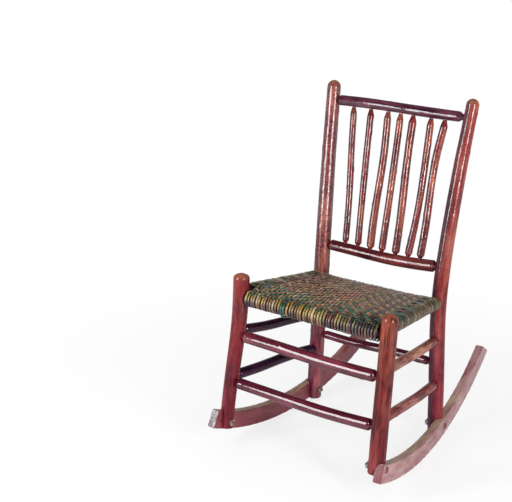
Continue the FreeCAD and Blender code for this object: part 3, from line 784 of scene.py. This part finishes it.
def weave_warp():
    """The strands that run front to back, as closed belts round the front and back rails.
    Two left of the middle are a thicker dark green bundle that hangs off the front rail."""
    bm = new_strands()
    back_stain = np.array(seat_stains["mauve"])
    for i, share in enumerate(warp_shares):
        bundle = abs(share - bundle_place) < bundle_reach
        jitter = seat_random.uniform(-strand_jitter, strand_jitter)
        width = warp_width * seat_random.uniform(*warp_width_shares)
        proud = seat_random.uniform(*roll_proud)
        if bundle:
            width *= bundle_fullness
            proud += bundle_proud
            hang = bundle_hang
        else:
            hang = loose_hang * seat_random.random() + right_hang * max(share, 0)
        front_x = share * front_half + jitter
        front_centre, front_radius = rail_place("front", front_x, 0)
        back_centre, back_radius = rail_place("back", share * back_half, 0)
        roll = warp_stain(share, roll_stain_shares) * roll_shade
        # Partly dark stain, partly painted shade: the strands under the seat are darkened
        under = pick(("navy", "brown", "dark", "wine"), (4, 2, 3, 3)) * under_painted_shade
        if bundle:
            roll = under = bundle_stain
        stain = warp_stain(share, top_stain_shares)
        points, colours = [], []
        # On top, from the front rail to the back one
        signs = with_midpoints([over(i, j) for j in range(len(weft_places))])
        for k, (level, reach) in enumerate(zip(signs, with_midpoints(weft_places))):
            if level < 0 and signs[k - 1] > 0:
                stain = warp_stain(share, top_stain_shares)
            across = share * half_width(reach) + jitter
            lift = level * half_layer + seat_random.uniform(0, crossing_lift)
            points.append(on_top(across, reach, lift))
            depth = np.array(reach / seat_depth)
            fade = float(ease(*back_fading, depth)) * back_fading_share
            near = float(ease(*front_fading, depth))
            topped = stain * (1 - fade) + back_stain * fade
            # Painted shade: a strand is darker where it dips under the strands that cross it
            shade = 1 - warp_painted_shade_at_crossing * (1 - level)
            colours.append((topped + (roll * front_shade - topped) * near) * shade)
        # Down round the back rail
        first_turn = math.pi / 2 - (weft_places[-1] - seat_depth) / (back_radius + layer)
        out = back_radius + rail_stand_off
        for k in range(1, turn_count):
            turn = first_turn + (-math.pi / 2 - first_turn) * k / (turn_count - 1)
            points.append(to_world(share * back_half, back_centre[1] + out * math.cos(turn),
                                   back_centre[2] + out * math.sin(turn)))
            colours.append(back_stain)
        # Under the seat from back to front
        signs = with_midpoints([over(i, j) for j in range(len(full_places))])
        for level, back in reversed(list(zip(signs, with_midpoints(full_places)))):
            across = share * half_width(back) + jitter
            height = belly_height(across, back) - level * half_layer
            points.append(to_world(across, back, height))
            colours.append(under)
        # Up round the front rail
        last_turn = weft_places[0] / (front_radius + layer) - front_tuck
        out = front_radius + rail_stand_off + proud
        for k in range(turn_count + 2):
            turn = -math.pi / 2 - (math.pi + last_turn) * k / (turn_count + 1)
            sag = hang * max(0, -math.sin(turn))
            points.append(to_world(front_x, front_centre[1] + out * math.cos(turn),
                                   front_centre[2] + (out + sag) * math.sin(turn)))
            # Painted shade: the lower half of the front roll takes the darker colour of the
            # strands under the seat
            rolled = float(ease(-roll_edge, roll_edge, np.array(math.sin(turn))))
            colours.append(under + (roll - under) * rolled)
        strand(bm, points, seat_across, width, colours, i)
    return bm


first_weft_number = 80
stain_run = 16
post_tuck = 0.0015
post_tuck_drop = 0.0035
side_looseness = 0.0012
side_roll_shade = 0.32
weft_width_shares = (0.86, 1.04)
weft_painted_shade_at_crossing = 0.25


def weave_weft():
    """The strands woven from side to side: closed belts round the two side rails, and
    shorter ones that end at the posts."""
    bm = new_strands()
    shares = with_midpoints(warp_shares)
    for j, reach in enumerate(weft_places):
        depth = reach / seat_depth
        place = reach + seat_random.uniform(-strand_jitter, strand_jitter)
        width = weft_width * seat_random.uniform(*weft_width_shares)
        half = half_width(reach)
        signs = with_midpoints([-over(i, j) for i in range(warp_count)])
        points, colours = [], []
        run = seat_random.randrange(stain_run)
        for k, level in enumerate(signs):
            if k == 0 or (k + run) % stain_run == 0:
                stain = weft_stain(shares[k], depth)
            lift = level * half_layer + seat_random.uniform(0, crossing_lift)
            points.append(on_top(shares[k] * half, place, lift))
            # Painted shade: a strand is darker where it dips under the strands that cross it
            colours.append(stain * (1 - weft_painted_shade_at_crossing * (1 - level)))
        if reach not in full_places:
            start = on_top(-half - post_tuck, place, -post_tuck_drop)
            end = on_top(half + post_tuck, place, -post_tuck_drop)
            strand(bm, [start] + points + [end], seat_back, width,
                   [colours[0]] + colours + [colours[-1]], j + first_weft_number, closed=False)
            continue
        centre, radius = rail_place("right", reach, 1)
        side = side_place(reach)
        wrap = radius + rail_stand_off + seat_random.uniform(0, side_looseness)
        roll = pick(("tan", "cream", "olive", "moss", "brown"), (3, 1, 3, 3, 3)) * side_roll_shade
        under = pick(("mauve", "moss", "dark", "olive"), (1, 1, 1, 1))
        # Down round the right rail
        for k in range(turn_count):
            turn = math.pi * (0.5 - k / (turn_count - 1))
            points.append(to_world(side + wrap * math.cos(turn), place,
                                   centre[2] + wrap * math.sin(turn)))
            topped = float(ease(0.5, 1.0, np.array(math.sin(turn))))
            colours.append(roll + (stain - roll) * topped)
        # Under the seat from right to left
        for level, share in reversed(list(zip(signs, shares))):
            height = belly_height(share * half, reach) - level * half_layer
            points.append(to_world(share * half, place, height))
            colours.append(under)
        # Up round the left rail
        for k in range(turn_count):
            turn = math.pi * (-0.5 - k / (turn_count - 1))
            points.append(to_world(-side + wrap * math.cos(turn), place,
                                   centre[2] + wrap * math.sin(turn)))
            colours.append(under)
        strand(bm, points, seat_back, width, colours, j + first_weft_number)
    return bm


dark_fibre_tint = (0.60, 0.56, 0.56)
pale_fibre_tint = (1.75, 1.7, 1.65)
blotch_tint = (0.5, 0.5, 0.55)
splint_bump = 0.0005


def splint_material():
    """Varnished splint: each strand's own stain, streaked along its fibres."""
    material, tree, shader = new_material("seat splint")
    lie = mark(tree, "lie", "Vector")
    tint = mark(tree, "tint", "Color")
    fibres = grained_noise(tree, lie, 0.05, 900, 3)
    blotches = grained_noise(tree, lie, 0.6, 70, 3)
    colour = blend(tree, spread(tree, fibres, 0.35, 0.65),
                   blend(tree, 1.0, tint, dark_fibre_tint, "MULTIPLY"),
                   blend(tree, 1.0, tint, pale_fibre_tint, "MULTIPLY"))
    blotched = blend(tree, 1.0, colour, blotch_tint, "MULTIPLY")
    feed(tree, shader, {
        "Base Color": blend(tree, spread(tree, blotches, 0.45, 0.7, 0.0, 0.6), colour, blotched),
        "Roughness": spread(tree, fibres, 0.3, 0.7, 0.42, 0.28),
        "Normal": relief(tree, fibres, 0.6, splint_bump),
        "Specular IOR Level": 0.2,
        "Coat Weight": 0.6,
        "Coat Roughness": 0.12})
    return material


splint = splint_material()
for name, bm in (("seat_warp", weave_warp()), ("seat_weft", weave_weft())):
    ends = [edge for edge in bm.edges if edge.is_boundary]
    bmesh.ops.holes_fill(bm, edges=ends, sides=0)
    bmesh.ops.recalc_face_normals(bm, faces=bm.faces)
    for face in bm.faces:
        face.smooth = True
    piece = new_piece(name, bm)
    cover(piece, splint)
    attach(piece, "root")
    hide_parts("seat_weave")

# Rockers: two boards sawn to the arc of one circle and bolted in the posts' notched feet.
# The stain is dusty on their sides and rubbed off to bare wood along their top edges, and
# the sawn end of the left one has weathered grey. The right one is coloured paler, with painted
# light and sheen, and the left one darker, with painted shade.

rocker_radius = 0.833
rocker_height = 0.050
rocker_voxel = 0.0022
rocker_centre = Vector((0, frame["record"]["mounts"][0]["pos_m"][1], rocker_radius))
rounding_passes = 3
rocker_swell = 0.0004
rocker_swell_scale = (12, 30, 8)
sole_fade = 0.003
worn_edge = 0.003
worn_top = 0.0045
bare_top = 0.0005
nose_length = 0.04
top_wear = 0.62
tail_spared = 0.3
edge_wear = 0.25
dark_bare_wood = (0.22, 0.13, 0.085)
pale_bare_wood = (0.47, 0.36, 0.235)
dark_grey_wood = (0.20, 0.15, 0.17)
pale_grey_wood = (0.44, 0.45, 0.47)
board_bump = 0.0006


def make_board_group():
    """Stained board: long grain, dusty sides with painted sheen, and bare wood where it is
    worn or sawn.
    """
    tree, given, out = new_group(
        "worn board",
        {"Grain": "Vector", "Worn": "Float", "Sawn End": "Float", "Dark": "Color",
         "Light": "Color", "Dust And Sheen": "Color"},
        {"Color": "Color", "Roughness": "Float", "Height": "Float"})
    lines = grained_noise(tree, given["Grain"], 0.03, 520, 4)
    clouds = grained_noise(tree, given["Grain"], 0.25, 60, 4)
    colour = blend(tree, spread(tree, lines, 0.38, 0.62), given["Dark"], given["Light"])
    colour = blend(tree, spread(tree, clouds, 0.40, 0.7, 0.1, 0.8), colour, given["Dust And Sheen"])
    colour = blend(tree, times(tree, given["Sawn End"], 0.8), colour, given["Dark"])
    wood = blend(tree, spread(tree, lines, 0.35, 0.65), dark_bare_wood, pale_bare_wood)
    grey = blend(tree, spread(tree, clouds, 0.42, 0.58), dark_grey_wood, pale_grey_wood)
    wood = blend(tree, given["Sawn End"], wood, grey)
    wear = calc(tree, "ADD", given["Worn"], times(tree, clouds, 0.7))
    bare = spread(tree, wear, 0.75, 1.1)
    feed(tree, out, {
        "Color": blend(tree, bare, colour, wood),
        "Roughness": spread(tree, bare, 0, 1, 0.42, 0.62),
        "Height": summed(tree, lines, 0.7, clouds, 0.5)})
    return tree


board_group = make_board_group()


def board_material(name, dark, light, dust_and_sheen):
    """A rocker's board in colours that carry its painted light and shade, under what is left of a
    thin coat.
    """
    material, tree, shader = new_material(name)
    board = add(tree, "Group", {"node_tree": board_group}, {
        "Grain": mark(tree, "grain", "Vector"), "Worn": mark(tree, "worn"),
        "Sawn End": mark(tree, "sawn end"), "Dark": dark, "Light": light,
        "Dust And Sheen": dust_and_sheen}).outputs
    feed(tree, shader, {
        "Base Color": board["Color"],
        "Roughness": board["Roughness"],
        "Normal": relief(tree, board["Height"], 0.5, board_bump),
        "Coat Weight": 0.2,
        "Coat Roughness": 0.3})
    return material


def rocker(side, seed, material, nose_wear):
    """One rocker, its edges rounded by hand and by wear."""
    piece = evened(merged("rocker_" + side), "board_rocker_" + side, rocker_voxel)
    bm = bmesh.new()
    bm.from_mesh(piece.data)
    for _ in range(rounding_passes):
        bmesh.ops.smooth_vert(bm, verts=bm.verts, factor=0.5, use_axis_x=True,
                              use_axis_y=True, use_axis_z=True)
    bm.to_mesh(piece.data)
    bm.free()
    points = places(piece.data)
    normals = places(piece.data, "vertex_normals", "vector")
    off = points - np.array(rocker_centre)
    turn = np.arctan2(off[:, 1], -off[:, 2])
    radial = np.hypot(off[:, 1], off[:, 2])
    grain = np.stack([off[:, 0], radial, turn * rocker_radius + seed], 1)
    rise = rocker_swell * noise_at(grain, rocker_swell_scale, seed)
    standing = ease(0.0, sole_fade, points[:, 2])
    moved = points + normals * (rise * standing)[:, None]
    piece.data.vertices.foreach_set("co", moved.ravel())
    from_sole = rocker_radius - radial
    top = ease(rocker_height - worn_top, rocker_height - bare_top, from_sole)
    from_edge = rocker_height / 2 - np.abs(from_sole - rocker_height / 2)
    edge = 1 - ease(0.0, worn_edge, from_edge)
    share = (turn - turn.min()) / (turn.max() - turn.min())
    rubbed = top_wear - tail_spared * ease(0.6, 0.95, share)
    facing_forward = -(normals[:, 1] * np.cos(turn) + normals[:, 2] * np.sin(turn))
    nose = ease(0.55, 0.85, facing_forward) * (turn < turn.min() + nose_length)
    worn = np.maximum(np.maximum(rubbed * top, edge_wear * edge), nose_wear * nose)
    keep(piece, "grain", "FLOAT_VECTOR", grain)
    keep(piece, "worn", "FLOAT", worn)
    keep(piece, "sawn end", "FLOAT", nose)
    cover(piece, material)
    piece.data.update()
    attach(piece, "root")
    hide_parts("rocker_" + side)


# Painted light and shade: the left board is coloured darker, as in shade, and the right board
# paler, as lit, with painted sheen in its dust
left_board_shaded = board_material("left rocker board", dark=(0.12, 0.010, 0.018),
                            light=(0.25, 0.036, 0.052), dust_and_sheen=(0.27, 0.055, 0.074))
right_board_lit = board_material("right rocker board", dark=(0.16, 0.030, 0.042),
                             light=(0.37, 0.14, 0.15), dust_and_sheen=(0.50, 0.32, 0.32))
rocker("left", 3.1, left_board_shaded, nose_wear=1.0)
rocker("right", 5.2, right_board_lit, nose_wear=0.0)

# Bolts, washers and square nuts: one steel carriage bolt through each foot. Bolts and
# washers are under a thin skin of the red stain, the nuts are bare, and all have rusted.


def make_rust_group():
    """Old steel, rusted in patches."""
    tree, given, out = new_group(
        "rusted steel",
        {"Place": "Vector", "Clean": "Color", "Rusty": "Color"},
        {"Color": "Color", "Metallic": "Float", "Roughness": "Float", "Height": "Float"})
    inputs = {"Vector": given["Place"], "Scale": 260, "Detail": 4}
    rust = add(tree, "TexNoise", None, inputs).outputs[0]
    feed(tree, out, {
        "Color": blend(tree, spread(tree, rust, 0.42, 0.58), given["Clean"], given["Rusty"]),
        "Metallic": spread(tree, rust, 0.42, 0.58, 0.6, 0.1),
        "Roughness": spread(tree, rust, 0.42, 0.58, 0.35, 0.7),
        "Height": rust})
    return tree


rust_group = make_rust_group()
rust_bump = 0.0005


def fastener_material(name, clean, rusty):
    """Steel in its own shades, clean and rusty."""
    material, tree, shader = new_material(name)
    place = add(tree, "TexCoord").outputs["Object"]
    steel = add(tree, "Group", {"node_tree": rust_group},
                {"Place": place, "Clean": clean, "Rusty": rusty}).outputs
    feed(tree, shader, {
        "Base Color": steel["Color"],
        "Metallic": steel["Metallic"],
        "Roughness": steel["Roughness"],
        "Normal": relief(tree, steel["Height"], 0.4, rust_bump)})
    return material


bolt_steel = fastener_material("stained bolts", (0.25, 0.10, 0.11), (0.17, 0.045, 0.052))
washer_steel = fastener_material("stained washers", (0.18, 0.07, 0.07), (0.14, 0.025, 0.028))
nut_steel = fastener_material("bare nuts", (0.50, 0.46, 0.40), (0.16, 0.10, 0.075))
for node, steel in (("rocker_bolts", bolt_steel), ("rocker_washers", washer_steel),
                    ("rocker_nuts", nut_steel)):
    cover(frame["nodes"][node], steel)

# Studio: a plain white floor that keeps a faint soft shadow, two soft lamps before the chair,
# one to each side, and the camera at the photograph's angle. The chair's varnish mirrors the
# floor as white behind the chair and dark before it.

floor_size = 60.0
white = (1, 1, 1)
floor_grey = (0.95, 0.95, 0.95)
camera_azimuth = math.radians(34.655)
to_backdrop = (-math.sin(camera_azimuth), math.cos(camera_azimuth), 0)


def towards_backdrop(tree, direction):
    """How far a place or a direction lies towards the backdrop, behind the chair."""
    inputs = {0: direction, 1: to_backdrop}
    return add(tree, "VectorMath", {"operation": "DOT_PRODUCT"}, inputs).outputs["Value"]


bm = bmesh.new()
bmesh.ops.create_grid(bm, x_segments=1, y_segments=1, size=floor_size / 2)
floor = new_piece("studio_floor", bm)
floor_paint = bpy.data.materials.new("studio floor")
floor_paint.use_nodes = True
tree = floor_paint.node_tree
tree.nodes.clear()
rays = add(tree, "LightPath").outputs
place = add(tree, "TexCoord").outputs["Object"]
mirrored = calc(tree, "MAXIMUM", rays["Is Glossy Ray"], rays["Is Transmission Ray"])
mirrored = times(tree, mirrored,
                 spread(tree, towards_backdrop(tree, place), -0.2, 1.4, 0.10, 1.0))
seen = calc(tree, "MAXIMUM", rays["Is Camera Ray"], mirrored)
away = add(tree, "VectorMath", {"operation": "LENGTH"}, {0: place}).outputs["Value"]
whiter = times(tree, seen, spread(tree, away, 0.45, 1.3, 0.78, 1.0))
matt = add(tree, "BsdfDiffuse", None, {"Color": floor_grey}).outputs[0]
glow = add(tree, "Emission", None, {"Color": white, "Strength": 1.0}).outputs[0]
mixed = add(tree, "MixShader", None, {0: whiter, 1: matt, 2: glow}).outputs[0]
add(tree, "OutputMaterial", None, {"Surface": mixed})
cover(floor, floor_paint)

# Seen by the camera or in the varnish, the room is white behind the chair up to eye level, as
# a backdrop is, and dark above that and before the chair. The light that it gives is pale
# and even all round, and stronger from above.
world = bpy.data.worlds.new("studio")
scene.world = world
world.use_nodes = True
tree = world.node_tree
tree.nodes.clear()
rays = add(tree, "LightPath").outputs
mirrored = calc(tree, "MAXIMUM", rays["Is Glossy Ray"], rays["Is Transmission Ray"])
seen = calc(tree, "MAXIMUM", rays["Is Camera Ray"], mirrored)
direction = add(tree, "TexCoord").outputs["Generated"]
upward = add(tree, "SeparateXYZ", None, {0: direction}).outputs[2]
light = spread(tree, upward, 0.0, 0.9, 0.18, 0.62)
shown = times(tree, spread(tree, upward, 0.02, 0.30, 1.0, 0.12),
              spread(tree, towards_backdrop(tree, direction), -0.1, 0.5, 0.15, 1.0))
ambient = add(tree, "Background", None, {"Color": white, "Strength": light}).outputs[0]
backdrop = add(tree, "Background", None, {"Color": white, "Strength": shown}).outputs[0]
mixed = add(tree, "MixShader", None, {0: seen, 1: ambient, 2: backdrop}).outputs[0]
add(tree, "OutputWorld", None, {"Surface": mixed})

chair_middle = Vector((0, 0, 0.45))
camera_elevation = math.radians(17.597)
camera_roll = math.radians(0.975)
camera_place = Vector((1.31204, -2.45556, 1.39108))
camera_lens = 74.3


def from_chair(azimuth, elevation):
    """The direction from the chair at an angle round it and an angle above the floor."""
    return Vector((math.sin(azimuth) * math.cos(elevation),
                   -math.cos(azimuth) * math.cos(elevation), math.sin(elevation)))


def lamp(name, turn, height, distance, size, power):
    """A soft oblong lamp that faces the chair, at an angle round it from the camera's."""
    data = bpy.data.lights.new(name, "AREA")
    data.shape = "RECTANGLE"
    data.size, data.size_y = size
    data.energy = power
    light = linked(name, data)
    back = from_chair(camera_azimuth + math.radians(turn), math.radians(height))
    light.location = chair_middle + back * distance
    light.rotation_euler = (-back).to_track_quat("-Z", "Y").to_euler()


lamp("left lamp", turn=-60, height=14, distance=2.4, size=(0.55, 1.3), power=38)
lamp("right lamp", turn=28, height=14, distance=2.6, size=(0.5, 1.3), power=44)

camera = linked("camera", bpy.data.cameras.new("camera"))
camera.data.sensor_width = 36
camera.data.lens = camera_lens
camera.location = camera_place
looking = -from_chair(camera_azimuth, camera_elevation)
level = looking.to_track_quat("-Z", "Y").to_matrix()
camera.rotation_euler = (level @ Matrix.Rotation(camera_roll, 3, "Z")).to_euler()
scene.camera = camera
scene.view_settings.view_transform = "Standard"
